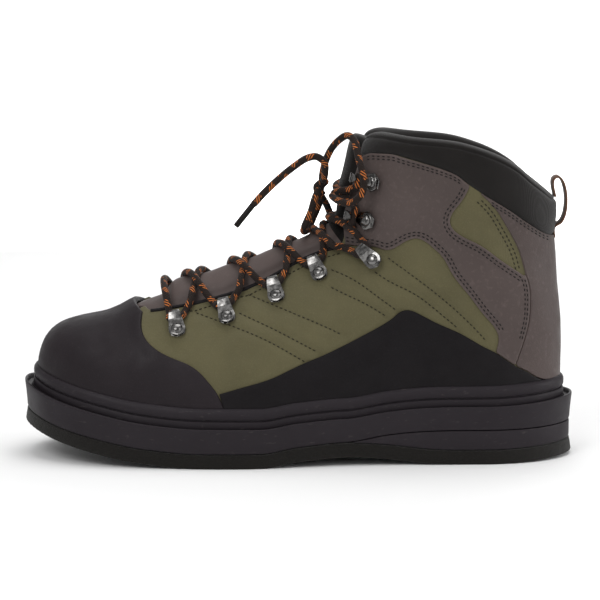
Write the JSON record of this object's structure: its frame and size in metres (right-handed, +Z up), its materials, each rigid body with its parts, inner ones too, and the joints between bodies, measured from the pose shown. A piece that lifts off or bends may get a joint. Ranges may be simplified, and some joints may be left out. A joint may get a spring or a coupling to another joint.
{
  "type": "wading boot",
  "caption": "Left lace-up wading boot: felt sole, rubber midsole with raised rim, olive fabric upper with grey and black overlays, padded collar, metal lace loops and hooks.",
  "frame": {"origin": "on the floor, in the middle of the boot's length and width", "axes": "+Z up, the toe points to -X and the heel to +X, the outer side faces -Y and the inner side +Y"},
  "size_m": [0.3263, 0.1231, 0.1923],
  "materials": {
    "felt": "pressed black felt",
    "sole_rubber": "matte dark grey rubber",
    "rand_rubber": "fine grained black rubber coating",
    "olive_fabric": "tight olive textile",
    "grey_synthetic": "matte grey brown synthetic leather",
    "black_neoprene": "black neoprene and knit lining",
    "insole_foam": "cloth covered foam",
    "gunmetal": "polished dark steel",
    "lace_cord": "braided dark cord with orange flecks",
    "webbing": "woven brown and black webbing"
  },
  "bodies": {
    "root": {"felt_sole": "felt", "heel_lift": "sole_rubber", "midsole": "sole_rubber", "welt": "sole_rubber", "insole": "insole_foam", "upper": "olive_fabric", "toe_cap": "rand_rubber", "side_rand_outer": "rand_rubber", "side_rand_inner": "rand_rubber", "ankle_overlay_outer": "grey_synthetic", "ankle_overlay_inner": "grey_synthetic", "heel_counter": "grey_synthetic", "collar": "black_neoprene", "tongue": "black_neoprene", "pull_loop": "webbing", "lace_loop_outer_1": "gunmetal", "lace_loop_outer_2": "gunmetal", "lace_loop_outer_3": "gunmetal", "lace_loop_outer_4": "gunmetal", "lace_loop_outer_5": "gunmetal", "lace_hook_outer_1": "gunmetal", "lace_hook_outer_2": "gunmetal", "lace_loop_inner_1": "gunmetal", "lace_loop_inner_2": "gunmetal", "lace_loop_inner_3": "gunmetal", "lace_loop_inner_4": "gunmetal", "lace_loop_inner_5": "gunmetal", "lace_hook_inner_1": "gunmetal", "lace_hook_inner_2": "gunmetal", "lace_bar": "lace_cord", "lace_cross_1": "lace_cord", "lace_cross_2": "lace_cord", "lace_cross_3": "lace_cord", "lace_cross_4": "lace_cord", "lace_cross_5": "lace_cord", "lace_cross_6": "lace_cord", "lace_knot": "lace_cord", "lace_standing_loop": "lace_cord", "lace_falling_loop": "lace_cord", "lace_end_long": "lace_cord", "lace_end_short": "lace_cord", "lace_tip_long": "lace_cord", "lace_tip_short": "lace_cord"}
  },
  "joints": []
}
